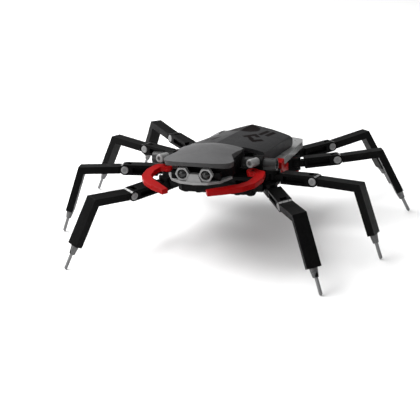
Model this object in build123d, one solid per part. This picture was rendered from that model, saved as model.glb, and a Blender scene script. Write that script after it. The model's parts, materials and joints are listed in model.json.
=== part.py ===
from build123d import *
import math
import os

# Eight-legged snap-together spider robot, posed by hand.
# Millimetres, +Z up, the robot faces -Y, +X is its left side.

# ---- size drivers -------------------------------------------------------------------
BEAM_W = 8.0            # width of every leg beam, one module of the kit
PIN_R = 2.3             # knee pin
RUN = 0.05              # running clearance of a pin in a bore
GAP = 0.35              # air between neighbouring pieces

# ---- legs ---------------------------------------------------------------------------
LINK_LEN = 26.0         # hip pin to knee pin
LINK_H = 6.4            # depth of the upper link
EYE_R = 3.5             # round ends of the upper link
EYE_T = 4.0             # thickness of the hip eye
HIP_PIN_R = 1.6
PIN_HEAD_R, PIN_HEAD_T = 2.5, 1.2
EAR_T = 1.8             # one ear of a hip clevis
EAR_R = 3.6
GROOVE_D = 2.2          # side grooves of the upper link
GROOVE_H = 3.0
TONGUE_W = 3.2          # tongue of the lower leg in the link's fork
TONGUE_R = 3.1
THIGH_LEN = 28.4        # knee pin to the outer corner of the elbow
SHIN_LEN = 29.3         # elbow corner to the square end of the shin
FOOT_LEN = 44.1         # elbow corner to the tip of the foot rod
SHIN_H = 4.4            # depth of the bent bar
ELBOW = 69.7            # bend of the bar, degrees
COLLET_LEN = 5.0
COLLET_R = 1.9
ROD_R = 1.0
ROD_IN = 7.0            # how far the rod sits inside the shin
SWING = 10.0            # hip swing each way, degrees

# name: knee x, knee y, yaw, pitch of the thigh, cant of the whole leg, rise of the link
LEGS = {
    "front": (46.2, -25.0, -59.9, 8.9, -7.2, 1.0),
    "second": (58.3, -1.7, -13.7, 0.6, 5.3, 3.0),
    "third": (62.6, 46.1, 17.8, 5.2, 6.4, 3.5),
    "rear": (53.3, 73.4, 41.0, 6.9, 4.7, 3.0),
}

# ---- body ---------------------------------------------------------------------------
CORE_X, CORE_Y0, CORE_Y1 = 22.0, -12.0, 62.0
CORE_Z0, CORE_Z1 = 31.6, 38.2
SHOULDER_X, SHOULDER_Y0, SHOULDER_Y1 = 29.4, 10.6, 28.4
FLANK_X = 28.6
BELLY_X, BELLY_Y0, BELLY_Y1, BELLY_T = 23.5, -6.0, 44.0, 2.4
STUD_R, STUD_H, PITCH = 2.4, 1.7, 8.0
STUD_Y = -1.0
DECK_YAW, DECK_Y = 10.0, 5.0     # the rear deck sits turned on its peg
PEG_R, PEG_H = 4.0, 3.0
PLATE_X, PLATE_Y0, PLATE_Y1 = 31.4, 25.4, 68.5
PLATE_Z0, PLATE_Z1 = 38.6, 42.8
CANOPY_X, CANOPY_Y0, CANOPY_Y1 = 28.5, -6.0, 51.5
CANOPY_TOP, CANOPY_FALL = 58.3, 4.3
FRONT_DROPS = ((13.0, 1.6), (20.7, 3.9), (25.6, 6.9))
REAR_DROPS = ((13.0, 3.0), (22.0, 5.6), (26.0, 7.0))
REAR_ROLL = 5.5                 # the lid's tail stands higher on the robot's left
CANOPY_WALL = 1.8
LID_PIN_R, LID_PIN_Y, LID_PIN_Z = 1.2, 47.6, 45.6
HEEL_Z = 44.8                   # the lid is cut back to here behind its hinge
LUG_R, LUG_IN, LUG_OUT = 2.2, 14.0, 19.0
HEAD_X, HEAD_Y0, HEAD_Y1 = 17.5, -37.0, -2.0
HEAD_Z0, HEAD_Z1 = 48.6, 56.4
SHELL_END = -0.9
TUBE_R, TUBE_BORE_R, TUBE_X = 3.6, 2.4, 37.5
TUBE_Y, TUBE_Z = -6.2, 49.2
COLLAR_R, COLLAR_X0, COLLAR_X1 = 4.9, 24.2, 29.8
BARREL_R, BARREL_LEN, BARREL_PITCH, BARREL_YAW = 2.4, 7.5, 10.0, 12.0
SPIGOT_R, MUZZLE_R = 1.5, 1.2
BARREL_RISE = 1.9               # barrels sit above the middle of the cross tube
EYE_X, EYE_Z, EYE_Y = 6.7, 54.4, -40.6
EYE_RIM_R, EYE_R_DOME = 4.1, 2.7
CHIN_Z0, CHIN_Z1 = 49.2, 50.6
NOSE_HALF = ((2.4, 54.7), (3.3, 52.7), (4.4, 50.9), (4.4, 49.5))   # half width of the nose at each height
JAW_X, JAW_Y = 25.5, -15.2
JAW_Z0, JAW_Z1 = 45.6, 48.5
JAW_OPEN = {1: 0.0, -1: 8.0}    # how far each jaw stands open
JAW_W, JAW_TIP_W = 5.4, 3.6
JAW_EAR_T = 2.2


def block(x0, x1, y0, y1, z0, z1):
    """Plain box between two corners."""
    size = (x1 - x0, y1 - y0, z1 - z0)
    return Pos((x0 + x1) / 2, (y0 + y1) / 2, (z0 + z1) / 2) * Box(*size)


def rod_between(start, end, radius):
    """Cylinder from one point to another."""
    start, end = Vector(*start), Vector(*end)
    way = end - start
    middle = (start + end) * 0.5
    return Plane(origin=middle, z_dir=way) * Cylinder(radius, way.length)


def outline(points, z0, z1):
    """Vertical prism on a closed outline."""
    face = make_face(Polyline(*[(x, y, z0) for x, y in points], close=True))
    return extrude(face, amount=z1 - z0, dir=(0, 0, 1))


def mirrored_outline(half):
    """Close a half outline, given on +X from front to back, into both sides."""
    return half + [(-x, y) for x, y in reversed(half) if x > 0]


# ---- leg geometry -------------------------------------------------------------------
def leg_axes(name):
    """Outward direction and upward direction of a leg's own plane, on the +X side."""
    yaw, cant = math.radians(LEGS[name][2]), math.radians(LEGS[name][4])
    out = Vector(math.cos(yaw), math.sin(yaw), 0)
    front = Vector(math.sin(yaw), -math.cos(yaw), 0)
    up = Vector(0, 0, math.cos(cant)) - front * math.sin(cant)
    return out, up


def in_leg(name, along, upward):
    """Vector of a point given along and up in the leg's plane."""
    out, up = leg_axes(name)
    return out * along + up * upward


def elbow_local(name):
    """Elbow corner, shin direction and shin normal in the leg's plane."""
    pitch = math.radians(LEGS[name][3])
    down = pitch - math.radians(ELBOW)
    corner = (
        THIGH_LEN * math.cos(pitch) - SHIN_H / 2 * math.sin(pitch),
        THIGH_LEN * math.sin(pitch) + SHIN_H / 2 * math.cos(pitch),
    )
    return corner, (math.cos(down), math.sin(down)), (-math.sin(down), math.cos(down))


def rod_line(name, distance):
    """Point on the foot rod's axis, measured from the elbow corner."""
    corner, way, normal = elbow_local(name)
    along = corner[0] - SHIN_H / 2 * normal[0] + distance * way[0]
    upward = corner[1] - SHIN_H / 2 * normal[1] + distance * way[1]
    return along, upward


def knee(name):
    """Knee pin centre: as high as puts the rounded rod tip on the floor."""
    tip = in_leg(name, *rod_line(name, FOOT_LEN - ROD_R))
    return Vector(LEGS[name][0], LEGS[name][1], ROD_R - tip.Z)


def hip(name):
    """Hip pin centre, one link length inboard of the knee."""
    rise = math.radians(LEGS[name][5])
    along, upward = -LINK_LEN * math.cos(rise), -LINK_LEN * math.sin(rise)
    return knee(name) + in_leg(name, along, upward)


def leg_plane(name, origin):
    """Plane whose X runs out along the leg and whose Z is the leg's up."""
    out, up = leg_axes(name)
    return Plane(origin=origin, x_dir=out, z_dir=up)


def across(radius, length, x=0.0, z=0.0):
    """Cylinder across the leg."""
    return Pos(x, 0, z) * Rot(90, 0, 0) * Cylinder(radius, length)


def upper_link(name):
    """Grooved link: level hip eye at the origin, rising beam, knee fork at its end."""
    half_w, half_h = BEAM_W / 2, LINK_H / 2
    beam_start = EYE_R + 2.4
    body = block(beam_start, LINK_LEN, -half_w, half_w, -half_h, half_h)
    body += across(half_h, BEAM_W, LINK_LEN)
    slot_start = LINK_LEN - TONGUE_R - 0.5
    slot = block(slot_start, LINK_LEN + 5, -TONGUE_W / 2 - 0.3, TONGUE_W / 2 + 0.3, -6, 6)
    for side in (-1, 1):
        y = side * half_w
        groove = block(beam_start + 1.6, LINK_LEN - EYE_R - 1.2, y - GROOVE_D, y + GROOVE_D,
                       -GROOVE_H / 2, GROOVE_H / 2)
        body -= groove
    body -= slot + across(PIN_R + RUN, 3 * BEAM_W, LINK_LEN)
    neck = block(0, beam_start + 0.8, -2.6, 2.6, -EYE_T / 2, EYE_T / 2)
    body = Rot(0, -LEGS[name][5], 0) * body + neck + Cylinder(EYE_R, EYE_T)
    return body - Cylinder(HIP_PIN_R + RUN, 3 * EYE_T)


def knee_pin():
    """Plain pin with broken edges, a little proud of both cheeks."""
    pin = across(PIN_R, BEAM_W + 0.5)
    return chamfer(pin.edges().filter_by(GeomType.CIRCLE), 0.25)


def bent_bar_face(name):
    """Side view of the bent bar in the leg's plane, from the knee shoulder down."""
    pitch = math.radians(LEGS[name][3])
    (ex, ez), way, normal = elbow_local(name)
    run = (math.cos(pitch), math.sin(pitch))
    rise = (-math.sin(pitch), math.cos(pitch))
    shoulder = 2.0
    inner = SHIN_H / math.cos(math.radians(ELBOW / 2))
    bisect = math.radians(ELBOW / 2)
    mid = (math.sin(bisect - pitch), math.cos(bisect - pitch))
    top0 = (shoulder * run[0] + SHIN_H / 2 * rise[0], shoulder * run[1] + SHIN_H / 2 * rise[1])
    low0 = (top0[0] - SHIN_H * rise[0], top0[1] - SHIN_H * rise[1])
    inside = (ex - inner * mid[0], ez - inner * mid[1])
    toe0 = (ex + SHIN_LEN * way[0], ez + SHIN_LEN * way[1])
    toe1 = (toe0[0] - SHIN_H * normal[0], toe0[1] - SHIN_H * normal[1])
    points = [top0, (ex, ez), toe0, toe1, inside, low0]
    return make_face(Polyline(*[(x, 0, z) for x, z in points], close=True))


def shin(name):
    """Bent bar with its knee tongue and its slotted collet, knee pin at the origin."""
    bar = extrude(bent_bar_face(name), amount=BEAM_W / 2, both=True)
    bar -= across(LINK_H / 2 + GAP, 3 * BEAM_W)
    pitch = LEGS[name][3]
    tongue = Rot(0, -pitch, 0) * block(0, EYE_R + 1.5, -TONGUE_W / 2, TONGUE_W / 2,
                                       -SHIN_H / 2, SHIN_H / 2)
    tongue += across(TONGUE_R, TONGUE_W)
    bar += tongue
    x0, z0 = rod_line(name, SHIN_LEN - 0.5)
    x1, z1 = rod_line(name, SHIN_LEN + COLLET_LEN)
    seat = Plane(origin=((x0 + x1) / 2, 0, (z0 + z1) / 2), z_dir=(x1 - x0, 0, z1 - z0))
    bar += seat * Cone(COLLET_R + 0.3, COLLET_R - 0.4, COLLET_LEN + 0.5)
    xs, zs = rod_line(name, SHIN_LEN - ROD_IN)
    bar -= rod_between((xs, 0, zs), (2 * x1 - x0, 0, 2 * z1 - z0), ROD_R + 0.02)
    bar -= across(PIN_R + RUN, 3 * BEAM_W)
    return bar


def foot_rod(name):
    """Straight rod with a rounded tip."""
    x0, z0 = rod_line(name, SHIN_LEN - ROD_IN + 0.1)
    x1, z1 = rod_line(name, FOOT_LEN - ROD_R)
    return rod_between((x0, 0, z0), (x1, 0, z1), ROD_R) + Pos(x1, 0, z1) * Sphere(ROD_R)


CLEVIS_REACH = 18.0
CLEVIS_HALF = EYE_T / 2 + 0.3


def hip_clevis():
    """Two ears and a web, open outward, hip pin at the origin."""
    half = CLEVIS_HALF + EAR_T
    body = block(-CLEVIS_REACH, 0, -EAR_R, EAR_R, -half, half) + Cylinder(EAR_R, 2 * half)
    return body - Cylinder(HIP_PIN_R, 20)


def clevis_mouth():
    """Space that the link's eye and neck sweep between the ears."""
    mouth = Cylinder(EYE_R + 0.5, 2 * CLEVIS_HALF)
    for swing in (-SWING, 0, SWING):
        mouth += Rot(0, 0, swing) * block(0, 7, -3.0, 3.0, -CLEVIS_HALF, CLEVIS_HALF)
    return mouth + block(0, EAR_R + 0.5, -6, 6, -CLEVIS_HALF, CLEVIS_HALF)


def hip_pin():
    """Headed pin of a hip clevis; its head shows underneath."""
    half = CLEVIS_HALF + EAR_T
    pin = Pos(0, 0, -0.1) * Cylinder(HIP_PIN_R - 0.01, 2 * half - 0.2)
    return pin + Pos(0, 0, -half - PIN_HEAD_T / 2) * Cylinder(PIN_HEAD_R, PIN_HEAD_T)


# ---- body pieces --------------------------------------------------------------------
def on_deck(piece):
    """Turn a piece with the rear deck."""
    return Pos(0, DECK_Y, 0) * Rot(0, 0, -DECK_YAW) * Pos(0, -DECK_Y, 0) * piece


def across_deck(radius, length, x=0.0):
    """Cylinder along the canopy hinge."""
    return Pos(x, LID_PIN_Y, LID_PIN_Z) * Rot(0, 90, 0) * Cylinder(radius, length)


def chassis():
    """Core with eight hip clevises and the shoulders that carry the side blocks."""
    core = block(-CORE_X, CORE_X, CORE_Y0, CORE_Y1, CORE_Z0, CORE_Z1)
    core = chamfer(core.edges().filter_by(Axis.Z), 3)
    core += block(-SHOULDER_X, SHOULDER_X, SHOULDER_Y0, SHOULDER_Y1, CORE_Z0 + 2, CORE_Z1)
    core += block(-FLANK_X, FLANK_X, BELLY_Y0, SHOULDER_Y0, CORE_Z0, CORE_Z1 - 2)
    for name in LEGS:
        arm = leg_plane(name, hip(name)) * hip_clevis()
        core += arm + mirror(arm, about=Plane.YZ)
    lid = block(-BELLY_X - GAP, BELLY_X + GAP, BELLY_Y0 - GAP, BELLY_Y1 + GAP, 0, CORE_Z0)
    roof = block(-60, 60, 14, 90, PLATE_Z0 - GAP, 60)
    for name in LEGS:
        half = CLEVIS_HALF + EAR_T
        seat = Pos(0, 0, -half - PIN_HEAD_T / 2) * Cylinder(PIN_HEAD_R + 0.1, PIN_HEAD_T + 0.02)
        cut = leg_plane(name, hip(name)) * (clevis_mouth() + seat + Cylinder(HIP_PIN_R, 2 * half))
        core -= cut + mirror(cut, about=Plane.YZ)
    return core - lid - roof - Pos(0, DECK_Y, CORE_Z1 - 1) * Cylinder(PEG_R + 0.02, 2 * PEG_H)


def belly_plate():
    """Underside plate with a front and a rear row of studs."""
    top = CORE_Z0 - 0.02
    plate = block(-BELLY_X, BELLY_X, BELLY_Y0, BELLY_Y1, top - BELLY_T, top)
    plate = chamfer(plate.edges().filter_by(Axis.Z), 2)
    for y in (STUD_Y, STUD_Y + 5 * PITCH):
        for column in range(6):
            x = (column - 2.5) * PITCH
            plate += Pos(x, y, top - BELLY_T - STUD_H / 2) * Cylinder(STUD_R, STUD_H)
    return plate


def rear_plate():
    """Deck under the canopy, showing round its sides and behind it."""
    half = [(0, 2.0), (9.0, 2.0), (9.0, PLATE_Y0), (PLATE_X - 2.6, PLATE_Y0), (PLATE_X, PLATE_Y0 + 1.0),
            (PLATE_X - 1.4, 61.1), (PLATE_X - 3.2, 66.4), (15.6, PLATE_Y1), (0, PLATE_Y1 + 1.5)]
    plate = outline(mirrored_outline(half), PLATE_Z0, PLATE_Z1)
    for side in (-1, 1):
        x = side * LUG_IN
        lug = block(x - 2, x + 2, LID_PIN_Y - LUG_R, LID_PIN_Y + LUG_R, PLATE_Z1 - 0.5, LID_PIN_Z)
        plate += lug + across_deck(LUG_R, 4, x)
    plate += Pos(0, DECK_Y, PLATE_Z0 - PEG_H / 2 + 0.5) * Cylinder(PEG_R, PEG_H + 1)
    return on_deck(plate - across_deck(LID_PIN_R, 80))


def canopy_section(inset, y, ridge, drops):
    """Roof-shaped cross-section of the canopy: drops are the fall at each x from the ridge."""
    (x1, z1), (x2, z2), (x3, z3) = drops
    top, half = ridge - inset, CANOPY_X - inset
    right = Spline((0, y, top), (x1, y, top - z1), (x2 - inset, y, top - z2), (x3 - inset, y, top - z3))
    low = [(x3 - inset, y, top - z3), (half, y, top - z3 - 3.0), (half, y, 20), (0, y, 20), (0, y, top)]
    half_face = make_face([right, Polyline(*low)])
    return half_face + mirror(half_face, about=Plane.YZ)


def canopy_body(inset, base):
    """Roof that falls and sharpens toward the rear, cut by its plan outline."""
    front = canopy_section(inset, CANOPY_Y0, CANOPY_TOP, FRONT_DROPS)
    ridge = CANOPY_TOP - CANOPY_FALL
    rear = canopy_section(inset, CANOPY_Y1 + 2, ridge, REAR_DROPS)
    rear = Pos(0, 0, ridge) * Rot(0, -REAR_ROLL, 0) * Pos(0, 0, -ridge) * rear
    prism = loft([front.faces()[0], rear.faces()[0]], ruled=True)
    if len(front.faces()) > 1:
        prism += loft([front.faces()[1], rear.faces()[1]], ruled=True)
    x, y1 = CANOPY_X - inset, CANOPY_Y1 - inset
    half = [(0, CANOPY_Y0), (x - 4.0, CANOPY_Y0), (x - 4.0, 5.5), (x - 2.6, 14), (x - 2.2, 26), (x - 1.8, 38),
            (x - 0.5, y1 - 1.6), (13.0, y1 - 0.4), (0, y1)]
    return prism & outline(mirrored_outline(half), base, 80)


def canopy():
    """Arched lid, hollow below, with two hinge lugs at the rear."""
    floor = PLATE_Z1 + GAP
    front = SHELL_END + 0.4
    lid = canopy_body(0, floor)
    hollow = canopy_body(CANOPY_WALL, floor - 1) - on_deck_front(front + CANOPY_WALL)
    lid -= hollow
    for side in (-1, 1):
        x = side * LUG_OUT
        lug = block(x - 2, x + 2, LID_PIN_Y - LUG_R, LID_PIN_Y + LUG_R, LID_PIN_Z, LID_PIN_Z + 2.4)
        lid += lug + across_deck(LUG_R, 4, x)
        slot = side * LUG_IN
        reach = LUG_R + 0.4
        lid -= block(slot - 2.35, slot + 2.35, LID_PIN_Y - reach, 70, floor - 1, LID_PIN_Z + reach)
    lid -= across_deck(LID_PIN_R + RUN, 2 * LUG_OUT + 4.6)
    heel = block(-40, 40, LID_PIN_Y, 70, floor - 1, HEEL_Z) - across_deck(LUG_R + 0.2, 80)
    lid = on_deck(lid - heel)
    ahead = block(-60, 60, -60, front, 0, 90)
    notch = block(0, 60, -60, 3.4, 0, 90)
    sweep = Pos(15.5, front, 0) * Rot(0, 0, 22) * notch
    return lid - ahead - sweep - mirror(sweep, about=Plane.YZ)


def on_deck_front(y):
    """Everything ahead of a chassis line, seen from the turned deck."""
    turned = Pos(0, DECK_Y, 0) * Rot(0, 0, DECK_YAW) * Pos(0, -DECK_Y, 0)
    return turned * block(-90, 90, -60, y, 0, 90)


def head_block():
    """Dark block that carries the face, the front shell, the cross tube and the jaws."""
    half = [(0, HEAD_Y0), (11.0, HEAD_Y0), (HEAD_X, HEAD_Y0 + 8.0), (HEAD_X, HEAD_Y1), (0, HEAD_Y1)]
    head = outline(mirrored_outline(half), HEAD_Z0, HEAD_Z1)
    head += block(-14, 14, -11.5, HEAD_Y1, CORE_Z1, HEAD_Z0 + 1)
    low, high = JAW_Z0 - GAP - JAW_EAR_T, JAW_Z0 - GAP
    head += block(-15, 15, JAW_Y - 3.4, JAW_Y + 5, low, HEAD_Z0 + 1)
    for side in (-1, 1):
        x0, x1 = sorted((0, side * JAW_X))
        ear = Pos(side * JAW_X, JAW_Y, (low + high) / 2) * Cylinder(3.4, JAW_EAR_T)
        head += ear + block(x0, x1, JAW_Y - 3.4, JAW_Y + 3.4, low, high)
    for side in (-1, 1):
        head -= Pos(side * JAW_X, JAW_Y, low) * Cylinder(HIP_PIN_R, 3 * JAW_EAR_T)
    head -= Pos(0, TUBE_Y, TUBE_Z) * Rot(0, 90, 0) * Cylinder(TUBE_R + 0.02, 90)
    return head


def shell_outline():
    """Half plan of the front shell: rounded brim, nipped waist, wider tail."""
    half = [(0, -45.2)]
    for step in range(1, 7):
        angle = math.radians(step * 13.0)
        half.append((20.0 * math.sin(angle), -33.0 - 12.2 * math.cos(angle)))
    return half + [(19.9, -32.0), (16.0, -23.5), (17.4, -9.0), (16.6, SHELL_END), (0, SHELL_END)]


def crowned_prism(drop):
    """Solid below the crowned top of the front shell, lowered by drop."""
    crown = ThreePointArc((-24, 0, 55.4 - drop), (0, 0, 62.6 - drop), (24, 0, 55.4 - drop))
    skirt = Polyline((24, 0, 55.4 - drop), (24, 0, 30), (-24, 0, 30), (-24, 0, 55.4 - drop))
    prism = Pos(0, 4, 0) * extrude(make_face([crown, skirt]), amount=60, dir=(0, -1, 0))
    bow = ThreePointArc((0, -48, 60.0 - drop), (0, -26, 62.4 - drop), (0, 6, 57.6 - drop))
    belly = Polyline((0, 6, 57.6 - drop), (0, 6, 30), (0, -48, 30), (0, -48, 60.0 - drop))
    return prism & extrude(make_face([bow, belly]), amount=30, both=True)


def front_shell():
    """Nose shell with a thin brim over the eyes and a crowned top."""
    base = HEAD_Z1 + 0.02
    shell = outline(mirrored_outline(shell_outline()), 50, 70) & crowned_prism(0)
    shell -= crowned_prism(2.3) & block(-40, 40, -60, HEAD_Y0 - 0.4, 30, 80)
    shell -= crowned_prism(2.3) & (block(-40, 40, -60, 10, 30, 80) - block(-HEAD_X, HEAD_X, -40, 10, 30, 80))
    return shell - block(-HEAD_X - 0.1, HEAD_X + 0.1, HEAD_Y0 - 0.4, 5, 30, base)


def visor():
    """Dark strip behind the eyes."""
    strip = block(-14.0, 14.0, HEAD_Y0 - 3.2, HEAD_Y0 - 0.02, CHIN_Z1 + 0.02, 55.2)
    return strip - block(-4.7, 4.7, -45, -39.6, 50, 55.0)


def eye_bezels():
    """Two hexagonal rims."""
    rims = []
    for side in (-1, 1):
        rim = extrude(Plane.XZ * RegularPolygon(EYE_RIM_R, 6), amount=2.6)
        rim -= Rot(90, 0, 0) * Cylinder(EYE_R_DOME + 0.02, 20)
        rims.append(Pos(side * EYE_X, EYE_Y + 0.35, EYE_Z) * rim)
    return Compound(rims)


def eye_domes():
    """Two glossy domes in the rims."""
    domes = []
    for side in (-1, 1):
        ball = Sphere(EYE_R_DOME) & block(-4, 4, -4, 0, -4, 4)
        stem = Pos(0, 0.8, 0) * Rot(90, 0, 0) * Cylinder(EYE_R_DOME, 1.6)
        domes.append(Pos(side * EYE_X, EYE_Y - 1.6, EYE_Z) * (ball + stem))
    return Compound(domes)


def chin_plate():
    """Crescent lip with the raised nose wedge between the eyes."""
    back = HEAD_Y0 - 0.02
    half = [(0, -44.9), (8.0, -43.8), (14.0, -40.4), (18.6, -32.0), (17.2, -31.0), (11.4, back), (0, back)]
    lip = outline(mirrored_outline(half), CHIN_Z0, CHIN_Z1)
    corners = list(NOSE_HALF) + [(-x, z) for x, z in reversed(NOSE_HALF)]
    face = make_face(Polyline(*[(x, -40.0, z) for x, z in corners], close=True))
    wedge = extrude(face, amount=6.0, dir=(0, -1, 0))
    side = Polyline((0, -44.2, 49.5), (0, -42.7, 55.0), (0, -39.0, 55.0), (0, -39.0, 49.5), close=True)
    return lip + (wedge & extrude(make_face(side), amount=6.0, both=True))


def cross_tube():
    """Tube through the head; its two open ends take an axle."""
    tube = Rot(0, 90, 0) * (Cylinder(TUBE_R, 2 * TUBE_X) - Cylinder(TUBE_BORE_R, 3 * TUBE_X))
    return Pos(0, TUBE_Y, TUBE_Z) * tube


def barrel_aim():
    """Both barrels stand a little up and point a little to the robot's right."""
    return Rot(0, 0, -BARREL_YAW) * Rot(-BARREL_PITCH, 0, 0)


def gun_collar(side):
    """Ring that turns on the cross tube, with the spigot of its barrel."""
    mid, wide = (COLLAR_X0 + COLLAR_X1) / 2, COLLAR_X1 - COLLAR_X0
    ring = Rot(0, 90, 0) * Cylinder(COLLAR_R, wide)
    ring += barrel_aim() * Pos(0, -5.2, BARREL_RISE) * Rot(90, 0, 0) * Cylinder(SPIGOT_R, 3.4)
    ring -= Rot(0, 90, 0) * Cylinder(TUBE_R + RUN, 30)
    return Pos(side * mid, TUBE_Y, TUBE_Z) * ring


def gun_barrel(side):
    """Short barrel with a rounded nose and a shallow muzzle."""
    mid = (COLLAR_X0 + COLLAR_X1) / 2
    start = COLLAR_R + 0.1
    barrel = Pos(0, 0.4 - start - BARREL_LEN / 2, 0) * Rot(90, 0, 0) * Cylinder(BARREL_R, BARREL_LEN + 0.8)
    nose = barrel.edges().filter_by(GeomType.CIRCLE).sort_by(Axis.Y)[0]
    barrel = fillet(nose, BARREL_R * 0.4)
    barrel -= Pos(0, -start - BARREL_LEN, 0) * Rot(90, 0, 0) * Cylinder(MUZZLE_R, 3)
    barrel -= Pos(0, -start, 0) * Rot(90, 0, 0) * Cylinder(SPIGOT_R + 0.02, 4.2)
    aimed = barrel_aim() * Pos(0, 0, BARREL_RISE) * barrel - Rot(0, 90, 0) * Cylinder(COLLAR_R + 0.02, 30)
    return Pos(side * mid, TUBE_Y, TUBE_Z) * aimed


def jaw_stretch(start, end, w0, w1):
    """One straight stretch of a jaw."""
    way = Vector(end[0] - start[0], end[1] - start[1], 0).normalized()
    side = Vector(-way.Y, way.X, 0)
    corners = []
    for (x, y), width in ((start, w0), (end, w1), (end, -w1), (start, -w0)):
        corners.append((x + side.X * width / 2, y + side.Y * width / 2))
    return outline(corners, JAW_Z0, JAW_Z1)


def jaw(side):
    """Curved red jaw from its pivot ring round to the blunt tip."""
    path = [(JAW_X, JAW_Y), (30.6, -17.5), (31.4, -25.0), (29.4, -33.6), (25.0, -39.2), (18.0, -44.0),
            (9.0, -49.4)]
    middle, tall = (JAW_Z0 + JAW_Z1) / 2, JAW_Z1 - JAW_Z0
    arm = Pos(JAW_X, JAW_Y, middle) * Cylinder(3.4, tall)
    for start, end in zip(path, path[1:]):
        last = end == path[-1]
        arm += jaw_stretch(start, end, JAW_W, JAW_TIP_W if last else JAW_W)
        if not last:
            arm += Pos(end[0], end[1], middle) * Cylinder(JAW_W / 2, tall)
    arm -= Pos(JAW_X, JAW_Y, JAW_Z0) * Cylinder(HIP_PIN_R + RUN, 30)
    arm = Pos(JAW_X, JAW_Y, 0) * Rot(0, 0, JAW_OPEN[side]) * Pos(-JAW_X, -JAW_Y, 0) * arm
    return arm if side > 0 else mirror(arm, about=Plane.YZ)


def jaw_pins():
    """Pivot pins of the two jaws."""
    low = JAW_Z0 - GAP - JAW_EAR_T
    pins = []
    for side in (-1, 1):
        pins.append(Pos(side * JAW_X, JAW_Y, (low + JAW_Z1) / 2) * Cylinder(HIP_PIN_R - 0.01, JAW_Z1 - low))
    return Compound(pins)


def side_blocks():
    """Red blocks on the shoulders: a tall front end and a low tail under the deck."""
    y0, y1 = SHOULDER_Y0, SHOULDER_Y1
    points = [(y0, 40.6), (y0, 42.0), (y0 + 1.2, 42.7), (y0 + 7.4, 42.7), (y0 + 7.8, CORE_Z1),
              (y1, CORE_Z1), (y1, 33.2), (y0 + 6, 35.4)]
    face = make_face(Polyline(*[(0, y, z) for y, z in points], close=True))
    inner, outer = SHOULDER_X + 0.02, SHOULDER_X + 6.7
    right = Pos(inner, 0, 0) * extrude(face, amount=outer - inner, dir=(1, 0, 0))
    right += block(outer - 4.4, outer, y0, y0 + 7.4, 40.8, 44.4)
    return Compound([right, mirror(right, about=Plane.YZ)])


def lid_pin():
    """Hinge pin of the canopy."""
    return on_deck(across_deck(LID_PIN_R - 0.01, 2 * LUG_OUT + 4))


# ---- assembly -----------------------------------------------------------------------
def build():
    """Every node, standing on z = 0 and centred on the origin."""
    nodes = {
        "chassis": chassis(),
        "belly_plate": belly_plate(),
        "head_block": head_block(),
        "front_shell": front_shell(),
        "rear_plate": rear_plate(),
        "canopy": canopy(),
        "canopy_hinge_pin": lid_pin(),
        "visor": visor(),
        "eye_bezels": eye_bezels(),
        "eye_domes": eye_domes(),
        "chin_plate": chin_plate(),
        "cross_tube": cross_tube(),
        "jaw_pins": jaw_pins(),
        "side_blocks": side_blocks(),
    }
    pins = []
    for side, word in ((1, "left"), (-1, "right")):
        nodes[word + "_gun_collar"] = gun_collar(side)
        nodes[word + "_gun_barrel"] = gun_barrel(side)
        nodes[word + "_jaw"] = jaw(side)
        for name in LEGS:
            at_hip = leg_plane(name, hip(name))
            at_knee = leg_plane(name, knee(name))
            pieces = {
                "upper_link": at_hip * upper_link(name),
                "knee_pin": at_knee * knee_pin(),
                "shin": at_knee * shin(name),
                "foot_rod": at_knee * foot_rod(name),
            }
            pin = at_hip * hip_pin()
            if side < 0:
                pieces = {key: mirror(piece, about=Plane.YZ) for key, piece in pieces.items()}
                pin = mirror(pin, about=Plane.YZ)
            pins.append(pin)
            for key, piece in pieces.items():
                nodes[f"{word}_{name}_{key}"] = piece
    nodes["hip_pins"] = Compound(pins)
    return nodes


def centre_y(nodes):
    """Middle of the assembled length."""
    boxes = [node.bounding_box() for node in nodes.values()]
    return (min(b.min.Y for b in boxes) + max(b.max.Y for b in boxes)) / 2


def main():
    os.makedirs("parts", exist_ok=True)
    nodes = build()
    shift = Pos(0, -centre_y(nodes), 0)
    for name, node in nodes.items():
        export_step(shift * node, f"parts/{name}.step")


if __name__ == "__main__":
    main()
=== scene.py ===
import json
import math

import bmesh
import bpy
from mathutils import Matrix, Vector


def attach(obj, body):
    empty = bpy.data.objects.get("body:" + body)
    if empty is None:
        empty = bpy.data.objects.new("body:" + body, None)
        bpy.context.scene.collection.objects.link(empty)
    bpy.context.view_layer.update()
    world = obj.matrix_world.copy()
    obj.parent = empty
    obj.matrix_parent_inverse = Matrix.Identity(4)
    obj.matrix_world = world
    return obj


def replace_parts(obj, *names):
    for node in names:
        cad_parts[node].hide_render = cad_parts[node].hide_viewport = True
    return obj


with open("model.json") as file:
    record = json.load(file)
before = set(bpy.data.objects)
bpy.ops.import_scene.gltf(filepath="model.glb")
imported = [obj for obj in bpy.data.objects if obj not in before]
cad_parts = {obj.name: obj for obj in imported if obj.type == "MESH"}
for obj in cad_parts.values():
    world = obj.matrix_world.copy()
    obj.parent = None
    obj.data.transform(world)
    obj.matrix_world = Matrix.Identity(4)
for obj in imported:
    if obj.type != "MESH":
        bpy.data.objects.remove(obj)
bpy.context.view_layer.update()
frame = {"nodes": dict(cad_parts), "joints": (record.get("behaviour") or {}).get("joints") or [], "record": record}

NODES = frame["nodes"]
JOINTS = {joint["name"]: joint for joint in frame["joints"]}
SIDES = ("left", "right")
LEGS = [f"{side}_{leg}" for side in SIDES for leg in ("front", "second", "third", "rear")]
MM = 0.001

# the body's own zero line stands this many millimetres ahead of the frame's middle
AHEAD = 18.894
# the rear deck and its lid sit turned on their peg, clockwise from above
DECK_PIVOT = Vector((0.0, -0.013894, 0.0))
DECK_TURN = math.radians(10.0)

# noise scales of the plastics, in cycles per metre
CLOUD_SCALE = 90.0
HANDLED_SCALE = 160.0
EDGE_MARK_SCALE = 700.0
GRAIN_SCALE = 3200.0
GRAIN_DEPTH = 0.00004
PLASTIC_IOR = 1.5

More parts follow.
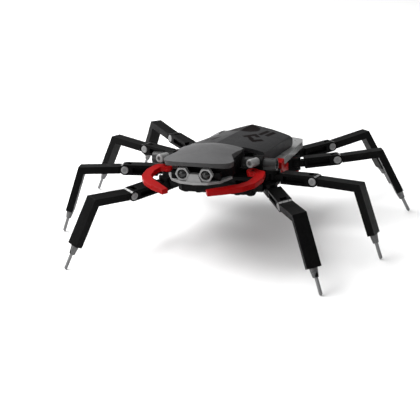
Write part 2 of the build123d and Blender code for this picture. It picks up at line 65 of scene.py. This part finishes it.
# the lid's print, in the turned deck's millimetres: bars by middle, turn in degrees, length and
# width, and one oval patch by middle and radii; it fades in between two heights
LID_BARS = (
    ((9.2, 23.4), 62, 10.5, 2.8), ((12.0, 26.2), -40, 6.0, 2.9), ((13.8, 16.6), -38, 5.8, 2.9),
    ((11.2, 19.6), -38, 5.0, 2.8), ((16.6, 19.4), 60, 6.2, 2.8),
    ((13.3, 34.9), 84, 11.5, 2.5), ((17.1, 35.9), 84, 10.5, 2.5),
    ((-11.8, 11.2), 80, 11.0, 3.0), ((-7.8, 10.6), 80, 9.0, 3.0),
    ((-15.4, 34.9), 96, 11.5, 2.5), ((-19.2, 35.9), 96, 10.5, 2.5),
)
LID_PATCH = ((-0.4, 37.0), 9.6, 8.0)
PRINT_HEIGHTS = (46.0, 48.0)
PRINT_COLOUR = (0.0028, 0.001, 0.001, 1.0)
LID_GLOSS, PRINT_GLOSS = 0.2, 0.03
# the patch's uneven edge and the weave, in cycles per millimetre
WOBBLE_SCALE = 0.16
WEAVE_SCALE = 1.25
WEAVE_RISE = 0.9


# ---- materials ------------------------------------------------------------------
def add(tree, kind, **settings):
    """A shader node with some of its settings filled in."""
    node = tree.nodes.new(kind)
    for key, value in settings.items():
        setattr(node, key, value)
    return node


def noise(tree, place, scale, detail=3.0, rough=0.55):
    """Noise texture at a scale in cycles per unit of its place."""
    made = add(tree, "ShaderNodeTexNoise")
    made.inputs["Scale"].default_value = scale
    made.inputs["Detail"].default_value = detail
    made.inputs["Roughness"].default_value = rough
    tree.links.new(place, made.inputs["Vector"])
    return made.outputs["Fac"]


def spread(tree, value, low, high, out_low, out_high):
    """Value from one range clamped into another."""
    made = add(tree, "ShaderNodeMapRange")
    made.inputs["From Min"].default_value = low
    made.inputs["From Max"].default_value = high
    made.inputs["To Min"].default_value = out_low
    made.inputs["To Max"].default_value = out_high
    tree.links.new(value, made.inputs["Value"])
    return made.outputs["Result"]


def maths(tree, what, a, b=None):
    """One Math node on values or numbers."""
    made = add(tree, "ShaderNodeMath", operation=what)
    for slot, value in zip(made.inputs, (a, b)):
        if value is None:
            continue
        if isinstance(value, (int, float)):
            slot.default_value = value
        else:
            tree.links.new(value, slot)
    return made.outputs[0]


def mixed(tree, factor, a, b):
    """Colour mix of two colours or sockets."""
    made = add(tree, "ShaderNodeMix", data_type="RGBA")
    tree.links.new(factor, made.inputs["Factor"])
    # inputs 6 and 7 and output 2 are the node's colour sockets
    for slot, value in ((made.inputs[6], a), (made.inputs[7], b)):
        if isinstance(value, tuple):
            slot.default_value = value
        else:
            tree.links.new(value, slot)
    return made.outputs[2]


def grey(value, tint=0.0):
    """Grey with a small cool tint."""
    return (value, value, value * (1.0 + tint), 1.0)


def shade(colour, factor):
    """Colour made lighter or darker by a factor."""
    return tuple(min(1.0, c * factor) for c in colour[:3]) + (1.0,)


def plastic(name, colour, rough, grain=0.35, edge_wear_and_highlight=0.25, mottle=0.16, gloss=0.3, upright_painted_shade=1.0):
    """Moulded plastic: cloudy colour, fine grain, uneven gloss, and pale edges that are partly rubbed wear and
    partly a painted edge highlight.

    The last argument darkens the upright faces by that factor: painted shade, as if the light fell only from
    above.
    """
    material = bpy.data.materials.new(name)
    material.use_nodes = True
    tree = material.node_tree
    shader = tree.nodes["Principled BSDF"]
    place = add(tree, "ShaderNodeTexCoord").outputs["Object"]
    cloud = noise(tree, place, CLOUD_SCALE, 4.0)
    base = mixed(tree, spread(tree, cloud, 0.3, 0.7, 0.0, 1.0),
                 shade(colour, 1.0 - mottle), shade(colour, 1.0 + mottle))
    # pale convex edges broken up by noise: partly rubbed wear, partly a painted edge highlight
    edge = add(tree, "ShaderNodeNewGeometry").outputs["Pointiness"]
    edge_wear_and_highlight_mask = maths(tree, "MULTIPLY", spread(tree, edge, 0.52, 0.62, 0.0, edge_wear_and_highlight),
                spread(tree, noise(tree, place, EDGE_MARK_SCALE, 5.0), 0.35, 0.7, 0.0, 1.0))
    pale = tuple(c + 0.10 * (1.0 - c) + 0.02 for c in colour[:3]) + (1.0,)
    base = mixed(tree, edge_wear_and_highlight_mask, base, pale)
    # painted shade: faces that don't face up get the darker colour, as if lit only from above
    if upright_painted_shade < 1.0:
        parts = add(tree, "ShaderNodeSeparateXYZ")
        normal = add(tree, "ShaderNodeNewGeometry").outputs["Normal"]
        tree.links.new(normal, parts.inputs[0])
        level = spread(tree, parts.outputs[2], 0.3, 0.7, 0.0, 1.0)
        base = mixed(tree, level, shade(colour, upright_painted_shade), base)
    tree.links.new(base, shader.inputs["Base Color"])
    handled = noise(tree, place, HANDLED_SCALE, 5.0, 0.65)
    tree.links.new(spread(tree, handled, 0.3, 0.75, rough - 0.07, rough + 0.09),
                   shader.inputs["Roughness"])
    bump = add(tree, "ShaderNodeBump")
    bump.inputs["Strength"].default_value = grain
    bump.inputs["Distance"].default_value = GRAIN_DEPTH
    tree.links.new(noise(tree, place, GRAIN_SCALE, 2.0), bump.inputs["Height"])
    tree.links.new(bump.outputs["Normal"], shader.inputs["Normal"])
    shader.inputs["IOR"].default_value = PLASTIC_IOR
    shader.inputs["Specular IOR Level"].default_value = gloss
    return material


def deck_place(tree):
    """Place in the turned deck's own axes, in millimetres."""
    place = add(tree, "ShaderNodeTexCoord").outputs["Object"]
    moved = add(tree, "ShaderNodeVectorMath", operation="SUBTRACT")
    tree.links.new(place, moved.inputs[0])
    moved.inputs[1].default_value = DECK_PIVOT
    turned = add(tree, "ShaderNodeVectorRotate", rotation_type="Z_AXIS")
    tree.links.new(moved.outputs[0], turned.inputs["Vector"])
    turned.inputs["Angle"].default_value = DECK_TURN
    scaled = add(tree, "ShaderNodeVectorMath", operation="SCALE")
    tree.links.new(turned.outputs[0], scaled.inputs[0])
    scaled.inputs["Scale"].default_value = 1 / MM
    parts = add(tree, "ShaderNodeSeparateXYZ")
    tree.links.new(scaled.outputs[0], parts.inputs[0])
    return scaled.outputs[0], parts.outputs


def inside(tree, value, low, high, soft=0.25):
    """1 where the value lies between low and high, with a short soft edge."""
    up = spread(tree, value, low - soft, low + soft, 0.0, 1.0)
    down = spread(tree, value, high - soft, high + soft, 1.0, 0.0)
    return maths(tree, "MULTIPLY", up, down)


def bar(tree, x, y, middle, angle, long, wide):
    """Mask of one printed bar, in millimetres and degrees."""
    c, s = math.cos(math.radians(angle)), math.sin(math.radians(angle))
    dx = maths(tree, "SUBTRACT", x, middle[0])
    dy = maths(tree, "SUBTRACT", y, middle[1])
    along = maths(tree, "ADD",
                  maths(tree, "MULTIPLY", dx, c), maths(tree, "MULTIPLY", dy, s))
    across = maths(tree, "SUBTRACT",
                   maths(tree, "MULTIPLY", dy, c), maths(tree, "MULTIPLY", dx, s))
    return maths(tree, "MULTIPLY", inside(tree, along, -long / 2, long / 2),
                 inside(tree, across, -wide / 2, wide / 2))


def oval(tree, x, y, middle, rx, ry, wobble):
    """Mask of an uneven oval patch, in millimetres; wobble is a noise round 0.5."""
    dx = maths(tree, "DIVIDE", maths(tree, "SUBTRACT", x, middle[0]), rx)
    dy = maths(tree, "DIVIDE", maths(tree, "SUBTRACT", y, middle[1]), ry)
    r = maths(tree, "ADD", maths(tree, "MULTIPLY", dx, dx), maths(tree, "MULTIPLY", dy, dy))
    r = maths(tree, "ADD", r, maths(tree, "MULTIPLY", maths(tree, "SUBTRACT", wobble, 0.5), 0.5))
    return spread(tree, r, 0.96, 1.06, 1.0, 0.0)


def canopy_plastic():
    """Dark lid with a woven texture and dark brown printed patches."""
    material = plastic("canopy_plastic", grey(0.018, 0.06), 0.42,
                       grain=0.2, edge_wear_and_highlight=0.05, mottle=0.08, gloss=LID_GLOSS)
    tree = material.node_tree
    shader = tree.nodes["Principled BSDF"]
    place, (x, y, z) = deck_place(tree)
    wobble = noise(tree, place, WOBBLE_SCALE, 2.0)
    mask = oval(tree, x, y, *LID_PATCH, wobble)
    for middle, angle, long, wide in LID_BARS:
        mask = maths(tree, "MAXIMUM", mask, bar(tree, x, y, middle, angle, long, wide))
    above = spread(tree, z, *PRINT_HEIGHTS, 0.0, 1.0)
    mask = maths(tree, "MULTIPLY", mask, above)
    plain = shader.inputs["Base Color"].links[0].from_socket
    tree.links.new(mixed(tree, mask, plain, PRINT_COLOUR), shader.inputs["Base Color"])
    tree.links.new(spread(tree, mask, 0.0, 1.0, LID_GLOSS, PRINT_GLOSS),
                   shader.inputs["Specular IOR Level"])
    weave = add(tree, "ShaderNodeTexChecker")
    weave.inputs["Scale"].default_value = WEAVE_SCALE
    turned = add(tree, "ShaderNodeVectorRotate", rotation_type="Z_AXIS")
    turned.inputs["Angle"].default_value = math.radians(45)
    tree.links.new(place, turned.inputs["Vector"])
    tree.links.new(turned.outputs[0], weave.inputs["Vector"])
    bump = [n for n in tree.nodes if n.type == "BUMP"][0]
    height = maths(tree, "ADD", bump.inputs["Height"].links[0].from_socket,
                   maths(tree, "MULTIPLY", weave.outputs["Fac"], WEAVE_RISE))
    tree.links.new(height, bump.inputs["Height"])
    return material


MATERIALS = {
    "black_plastic": plastic(
        "black_plastic", grey(0.0014, 0.05), 0.42, edge_wear_and_highlight=0.05, gloss=0.05),
    # its upright faces carry painted shade, darkened to 0.4 of the colour
    "dark_grey_plastic": plastic(
        "dark_grey_plastic", grey(0.078, 0.02), 0.46, edge_wear_and_highlight=0.1, mottle=0.08, gloss=0.22, upright_painted_shade=0.4),
    "light_grey_plastic": plastic(
        "light_grey_plastic", grey(0.21), 0.32, edge_wear_and_highlight=0.08, mottle=0.06, gloss=0.5),
    "red_plastic": plastic(
        "red_plastic", (0.25, 0.001, 0.0012, 1.0), 0.4, grain=0.2, edge_wear_and_highlight=0.02, gloss=0.06),
    "canopy_plastic": canopy_plastic(),
    "eye_plastic": plastic(
        "eye_plastic", grey(0.0008), 0.2, grain=0.02, edge_wear_and_highlight=0.0, gloss=0.42),
    "rod_plastic": plastic(
        "rod_plastic", grey(0.16, 0.02), 0.34, edge_wear_and_highlight=0.1, gloss=0.4),
    "collet_plastic": plastic(
        "collet_plastic", grey(0.06, 0.02), 0.26, edge_wear_and_highlight=0.1, gloss=0.6),
    "tube_plastic": plastic(
        "tube_plastic", grey(0.012, 0.02), 0.36, edge_wear_and_highlight=0.1, mottle=0.08, gloss=0.3),
}
# a node whose look differs from the rest of its slot
LOOKS = {"cross_tube": "tube_plastic"}
SLOT_OF = {part["node"]: part["material_slot"] for part in frame["record"]["subparts"]}


# ---- every CAD solid as a crisp mesh with small rounded edges ------------------------
# edge rounding in millimetres, and the angle in degrees above which an edge is rounded
PLAIN_EDGE = (0.25, 24.0)
EDGES = {"canopy_hinge_pin": (0.1, 30), "jaw_pins": (0.15, 30), "hip_pins": (0.2, 30),
         "canopy": (0.3, 11), "rear_plate": (0.35, 11), "eye_bezels": (0.2, 25),
         "chin_plate": (0.25, 16), "head_block": (0.3, 12)}
# nodes that a piece built in this script stands for
HAND_BUILT = ("front_shell", "eye_domes")
# angles in degrees above which shading breaks, and how strongly large faces set the normals
NODE_SHARP = 38.0
PIECE_SHARP = 30.0
NORMAL_WEIGHT = 80


def body_of(node):
    """Name of the body that carries a CAD node."""
    for body, members in frame["record"]["behaviour"]["bodies"].items():
        if node in members:
            return body
    return None


def settle(obj, sharp):
    """Smooth shading with hard breaks, weighted to the large faces."""
    mesh = obj.data
    mesh.polygons.foreach_set("use_smooth", [True] * len(mesh.polygons))
    mesh.set_sharp_from_angle(angle=math.radians(sharp))
    normals = obj.modifiers.new("normals", "WEIGHTED_NORMAL")
    normals.keep_sharp = True
    normals.weight = NORMAL_WEIGHT


def mesh_object(name, bm):
    """Object in the scene that takes over a bmesh."""
    mesh = bpy.data.meshes.new(name)
    bm.to_mesh(mesh)
    bm.free()
    obj = bpy.data.objects.new(name, mesh)
    bpy.context.scene.collection.objects.link(obj)
    return obj


def bevel_edges(bm, width, angle):
    """Rounds the edges sharper than an angle in degrees, by a width in millimetres."""
    least = math.radians(angle)
    edges = [e for e in bm.edges if e.is_manifold and e.calc_face_angle(0.0) > least]
    bmesh.ops.bevel(bm, geom=edges, offset=width * MM, offset_type="OFFSET", segments=2,
                    profile=0.5, affect="EDGES", clamp_overlap=True, material=-1)


def refined(node, width, angle):
    """Copy of a CAD node that stands for it: joined, flat faces merged and edges rounded."""
    bm = bmesh.new()
    bm.from_mesh(NODES[node].data)
    bmesh.ops.remove_doubles(bm, verts=bm.verts[:], dist=2e-6)
    bmesh.ops.dissolve_limit(bm, angle_limit=math.radians(0.4), verts=bm.verts[:],
                             edges=bm.edges[:])
    bevel_edges(bm, width, angle)
    obj = mesh_object(f"{node}_body", bm)
    obj.data.materials.append(MATERIALS[LOOKS.get(node, SLOT_OF[node])])
    settle(obj, NODE_SHARP)
    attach(obj, body_of(node))
    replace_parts(obj, node)


for name in NODES:
    if name not in HAND_BUILT:
        refined(name, *EDGES.get(name, PLAIN_EDGE))


# ---- detail pieces -------------------------------------------------------------------
# profiles of the turned details: (radius, height) in millimetres
PIN_LIP = ((1.95, -0.35), (1.95, 0.03), (1.8, 0.09), (1.35, 0.09), (1.25, 0.0))
PIN_EYE = ((1.2, -0.3), (1.2, 0.02), (0.4, 0.03))
COLLET_SLEEVE = ((1.56, 9.6), (1.68, 9.7), (2.02, 12.0), (2.3, 14.6), (2.3, 14.75))
EYE_RING = ((3.35, -0.8), (3.35, 0.62), (3.1, 0.7), (2.82, 0.45), (2.8, -0.8))
# the eyes, in the body's own millimetres
EYE_HALF_GAP, EYE_Y, EYE_Z = 6.7, -41.2, 54.4
EYE_RADIUS, EYE_RISE = 2.75, 2.3

# the front shell, in the body's own millimetres: nose arc, waist stations, crown and brim
NOSE_Y, NOSE_LONG, NOSE_WIDE = -33.0, 11.4, 20.0
NOSE_STEPS, NOSE_STEP_DEG, WAIST_STEPS = 13, 6.0, 5
WAIST = ((-32.0, 19.9), (-23.5, 16.0), (-9.0, 17.4), (-0.95, 16.6))
CROWN_Y, CROWN_Z = -26.0, 62.4
CROWN_AHEAD, CROWN_BEHIND = 0.0012, 0.0061
SIDE_FALL, SIDE_FALL_REAR = 0.006, 0.0028
BRIM_DEEP, BRIM_DEEP_SIDE, BRIM_LEAN, LEAN_Y = 2.4, 0.002, 0.025, -29.0
SHELL_COLUMNS = 24
HEAD_TOP_Z, HEAD_FRONT_Y, HEAD_HALF = 56.45, -36.9, 17.3
SHELL_EDGE = (0.18, 50)

# knee ribs, in millimetres: lengths along the pin, and inner and outer radii round it
CHEEK_SPANS, CHEEK_RADII = ((-3.95, -1.95), (1.95, 3.95)), (3.14, 3.32)
TONGUE_SPAN, TONGUE_RADII = (-1.55, 1.55), (3.0, 3.32)
RIB_ANGLES = (50, 55, 60, 65, 70)


def new_piece(name, bm, body, slot, look=None):
    """Object from a bmesh, riding on a body; its look is the slot's unless one is named."""
    obj = mesh_object(name, bm)
    obj.data.materials.append(MATERIALS[look or slot])
    settle(obj, PIECE_SHARP)
    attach(obj, body)
    return obj


def turned_ring(bm, middle, axis, profile, segments=32):
    """Solid of revolution round an axis, closed at both ends of its profile."""
    axis = Vector(axis).normalized()
    side = axis.orthogonal().normalized()
    other = axis.cross(side)
    rows = []
    for radius, height in profile:
        row = []
        for step in range(segments):
            angle = 2 * math.pi * step / segments
            out = side * math.cos(angle) + other * math.sin(angle)
            row.append(bm.verts.new(Vector(middle) + (out * radius + axis * height) * MM))
        rows.append(row)
    for low, high in zip(rows, rows[1:]):
        for step in range(segments):
            nxt = (step + 1) % segments
            bm.faces.new((low[step], low[nxt], high[nxt], high[step]))
    bm.faces.new(list(reversed(rows[0])))
    bm.faces.new(rows[-1])


def reach(node, middle, axis, radius):
    """How far a node reaches both ways along an axis, within a radius of it, in millimetres."""
    axis, middle = Vector(axis).normalized(), Vector(middle)
    found = []
    for vertex in NODES[node].data.vertices:
        away = vertex.co - middle
        along = away.dot(axis)
        if (away - axis * along).length < radius * MM:
            found.append(along / MM)
    return min(found), max(found)


def joint_line(name):
    """Middle and unit axis of a joint."""
    joint = JOINTS[name]
    return Vector(joint["pos_m"]), Vector(joint["axis"]).normalized()


def spot(x, y, z):
    """Point given in the body's own millimetres."""
    return Vector((x, y - AHEAD, z)) * MM


def share(value):
    """Value held between 0 and 1."""
    return min(1.0, max(0.0, value))


def shell_rows():
    """Stations along the front shell: distance along the body and half width."""
    rows = []
    for step in range(1, NOSE_STEPS + 1):
        angle = math.radians(step * NOSE_STEP_DEG)
        rows.append((NOSE_Y - NOSE_LONG * math.cos(angle), NOSE_WIDE * math.sin(angle)))
    for (y0, w0), (y1, w1) in zip(WAIST, WAIST[1:]):
        for step in range(WAIST_STEPS):
            rows.append((y0 + (y1 - y0) * step / WAIST_STEPS,
                         w0 + (w1 - w0) * step / WAIST_STEPS))
    return rows + [WAIST[-1]]


def shell_top(x, y):
    """Height of the crowned shell: highest behind the eyes, lower to the sides and ends."""
    curve = CROWN_AHEAD if y < CROWN_Y else CROWN_BEHIND
    along = CROWN_Z - curve * (y - CROWN_Y) ** 2
    fall = SIDE_FALL + SIDE_FALL_REAR * share((y + 34.0) / 12.0)
    return along - fall * x * x


def shell_rim(rows):
    """The shell's outline, all the way round one layer of its points."""
    rear = rows[-1][-2:0:-1]
    return [row[-1] for row in rows] + rear + [row[0] for row in reversed(rows)] + rows[0][1:-1]


def front_shell():
    """Crowned nose shell with an even brim standing out over the face."""
    bm = bmesh.new()
    tops, lows = [], []
    for y, half in shell_rows():
        top, low = [], []
        for column in range(SHELL_COLUMNS + 1):
            x = half * (2.0 * column / SHELL_COLUMNS - 1.0)
            z = shell_top(x, y)
            top.append(bm.verts.new(spot(x, y, z)))
            # the brim's band leans in below its edge and grows deeper toward the sides
            lean = BRIM_LEAN * share((LEAN_Y - y) / 5.0)
            deep = BRIM_DEEP + BRIM_DEEP_SIDE * x * x * share((-24.0 - y) / 10.0)
            low_x, low_y, low_z = x * (1.0 - lean), y - lean * (y - LEAN_Y), z - deep
            if y > HEAD_FRONT_Y and abs(x) < HEAD_HALF:
                low_z = min(HEAD_TOP_Z, low_z)
            low.append(bm.verts.new(spot(low_x, low_y, low_z)))
        tops.append(top)
        lows.append(low)
    for rows, way in ((tops, 1), (lows, -1)):
        for near, far in zip(rows, rows[1:]):
            for column in range(SHELL_COLUMNS):
                face = (near[column], near[column + 1], far[column + 1], far[column])
                bm.faces.new(face[::way])
    rim_top, rim_low = shell_rim(tops), shell_rim(lows)
    for step in range(len(rim_top)):
        nxt = (step + 1) % len(rim_top)
        bm.faces.new((rim_top[step], rim_top[nxt], rim_low[nxt], rim_low[step]))
    bmesh.ops.recalc_face_normals(bm, faces=bm.faces[:])
    bevel_edges(bm, *SHELL_EDGE)
    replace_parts(new_piece("front_shell_body", bm, "core", "dark_grey_plastic"), "front_shell")


def eyes():
    """Glossy black eyeball and dark inner ring in each hexagonal bezel."""
    balls, rings = bmesh.new(), bmesh.new()
    angles = [math.radians(a) for a in range(-20, 88, 9)]
    ball = [(EYE_RADIUS * math.cos(a), EYE_RISE * math.sin(a)) for a in angles]
    for x in (-EYE_HALF_GAP, EYE_HALF_GAP):
        middle, out = spot(x, EYE_Y, EYE_Z), (0.0, -1.0, 0.0)
        turned_ring(balls, middle, out, ball + [(0.04, EYE_RISE)], 40)
        turned_ring(rings, middle, out, EYE_RING, 40)
    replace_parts(new_piece("eyeballs", balls, "core", "eye_plastic"), "eye_domes")
    new_piece("eye_inner_rings", rings, "core", "black_plastic")


front_shell()
eyes()


def pin_faces():
    """Raised lip and sunk centre on both ends of every knee pin."""
    for leg in LEGS:
        node = f"{leg}_knee_pin"
        middle, axis = joint_line(f"{leg}_knee_bend")
        low, high = reach(node, middle, axis, 3.0)
        for part, profile, slot in (("lip", PIN_LIP, "light_grey_plastic"),
                                    ("eye", PIN_EYE, "rod_plastic")):
            bm = bmesh.new()
            for end, way in ((high, 1.0), (low, -1.0)):
                turned_ring(bm, middle + axis * end * MM, axis * way, profile)
            new_piece(f"{node}_{part}", bm, body_of(node), slot)


def hip_heads():
    """Dark disc on the head of every hip and jaw pin: painted shade standing in for a socket recess."""
    spots = [(f"{leg}_hip_swing", "hip_pins", 1.5) for leg in LEGS]
    spots += [(f"{side}_jaw_swing", "jaw_pins", 1.0) for side in SIDES]
    bm = bmesh.new()
    for name, node, wide in spots:
        middle, axis = joint_line(name)
        if axis.z < 0:
            axis = -axis
        high = reach(node, middle, axis, 3.2)[1]
        profile = ((wide, -0.3), (wide, 0.04), (wide - 0.25, 0.06), (wide - 0.5, 0.02))
        turned_ring(bm, middle + axis * high * MM, axis, profile, 24)
    new_piece("pin_head_socket_shade", bm, "core", "black_plastic")


def foot_collets():
    """Bright tapered sleeve over the collet of every foot rod."""
    for leg in LEGS:
        node = f"{leg}_foot_rod"
        points = [vertex.co for vertex in NODES[node].data.vertices]
        tip = min(points, key=lambda p: p.z)
        far = max(points, key=lambda p: (p - tip).length)
        # the rod's upper end, and from it the middle of its lower end
        upper = [p for p in points if (p - far).length < 3 * MM]
        top = sum(upper, Vector()) / len(upper)
        way = (top - tip).normalized()
        tip = min(points, key=lambda p: (p - top).dot(way))
        foot = top + way * (tip - top).dot(way)
        bm = bmesh.new()
        turned_ring(bm, foot, way, COLLET_SLEEVE, 28)
        new_piece(f"{leg}_collet_sleeve", bm, body_of(node), "rod_plastic", "collet_plastic")


def rib_strip(bm, middle, axis, out, rise, span, radii):
    """Thin strip round part of a knee, from one length along its pin to another."""
    steps = [math.radians(a) for a in RIB_ANGLES]
    rows = []
    for along in span:
        for radius in radii:
            ring = [(out * math.cos(a) + rise * math.sin(a)) * radius for a in steps]
            rows.append([bm.verts.new(middle + (v + axis * along) * MM) for v in ring])
    near_in, near_out, far_in, far_out = rows
    last = len(steps) - 1
    sides = ((near_in, near_out), (near_out, far_out), (far_out, far_in), (far_in, near_in))
    for a, b in sides:
        for step in range(last):
            bm.faces.new((a[step], a[step + 1], b[step + 1], b[step]))
    for end in (0, last):
        bm.faces.new((near_in[end], near_out[end], far_out[end], far_in[end]))


def knee_ribs():
    """Light strip over every knee: two lengths on the fork's cheeks and one on the tongue."""
    for leg in LEGS:
        middle, axis = joint_line(f"{leg}_knee_bend")
        out = middle - joint_line(f"{leg}_hip_swing")[0]
        out = (out - axis * out.dot(axis)).normalized()
        rise = axis.cross(out)
        if rise.z < 0:
            rise = -rise
        cheeks, tongue = bmesh.new(), bmesh.new()
        for span in CHEEK_SPANS:
            rib_strip(cheeks, middle, axis, out, rise, span, CHEEK_RADII)
        rib_strip(tongue, middle, axis, out, rise, TONGUE_SPAN, TONGUE_RADII)
        for part, bm, carrier in (("knee_rib", cheeks, "knee_pin"),
                                  ("tongue_rib", tongue, "shin")):
            bmesh.ops.recalc_face_normals(bm, faces=bm.faces[:])
            new_piece(f"{leg}_{part}", bm, body_of(f"{leg}_{carrier}"), "light_grey_plastic")


pin_faces()
hip_heads()
foot_collets()
knee_ribs()


# ---- floor, light and camera --------------------------------------------------------
# softboxes: name, place, aim, size in metres and power in watts
SOFTBOXES = (("key", (-0.62, 0.12, 0.7), (0, 0, 0.03), 0.8, 15.5),
             ("top", (0.0, -0.1, 1.1), (0, 0, 0.0), 2.4, 7.0),
             ("front", (-0.5, -0.75, 0.3), (0, 0, 0.04), 0.4, 2.4))
SKY_STRENGTH = 0.34
FLOOR_HALF = 6.0
FLOOR_DROP = 0.0002
FLOOR_SCALE = 6.0
FLOOR_TONES = (0.93, 0.96)


def make_floor():
    """Plain pale floor, a hair below the feet."""
    bm = bmesh.new()
    bmesh.ops.create_grid(bm, x_segments=8, y_segments=8, size=FLOOR_HALF)
    floor = mesh_object("floor", bm)
    floor.location.z = -FLOOR_DROP
    material = bpy.data.materials.new("floor")
    material.use_nodes = True
    tree = material.node_tree
    shader = tree.nodes["Principled BSDF"]
    place = add(tree, "ShaderNodeTexCoord").outputs["Object"]
    tone = noise(tree, place, FLOOR_SCALE, 2.0)
    dull, bright = (grey(value) for value in FLOOR_TONES)
    tree.links.new(mixed(tree, tone, dull, bright), shader.inputs["Base Color"])
    shader.inputs["Roughness"].default_value = 0.9
    floor.data.materials.append(material)


def softbox(name, place, aim, size, power):
    """Square area light aimed at a point."""
    data = bpy.data.lights.new(name, "AREA")
    data.size = size
    data.energy = power
    light = bpy.data.objects.new(name, data)
    light.location = place
    light.rotation_euler = (Vector(aim) - Vector(place)).to_track_quat("-Z", "Y").to_euler()
    bpy.context.scene.collection.objects.link(light)


def make_lights():
    """Even pale surroundings and three softboxes."""
    world = bpy.data.worlds.new("studio")
    world.use_nodes = True
    sky = world.node_tree.nodes["Background"]
    sky.inputs["Color"].default_value = grey(1.0)
    sky.inputs["Strength"].default_value = SKY_STRENGTH
    bpy.context.scene.world = world
    for box in SOFTBOXES:
        softbox(*box)


def make_camera():
    """Camera ahead of the robot, to its left and above, rolled a little."""
    azimuth, elevation, roll = math.radians(18.64), math.radians(22.98), math.radians(-3.16)
    distance, aim = 0.4977, Vector((0.0, -0.037394, 0.0235))
    back = Vector((math.sin(azimuth) * math.cos(elevation),
                   -math.cos(azimuth) * math.cos(elevation), math.sin(elevation)))
    right = (-back).cross(Vector((0, 0, 1))).normalized()
    up = right.cross(-back)
    right, up = (right * math.cos(roll) + up * math.sin(roll),
                 up * math.cos(roll) - right * math.sin(roll))
    data = bpy.data.cameras.new("camera")
    data.lens = 73.58
    data.sensor_width = 36.0
    data.clip_start = 0.01
    data.clip_end = 50.0
    camera = bpy.data.objects.new("camera", data)
    turn = Matrix((right, up, back)).transposed().to_4x4()
    camera.matrix_world = Matrix.Translation(aim + back * distance) @ turn
    bpy.context.scene.collection.objects.link(camera)
    bpy.context.scene.camera = camera


make_floor()
make_lights()
make_camera()
bpy.context.scene.view_settings.view_transform = "Standard"
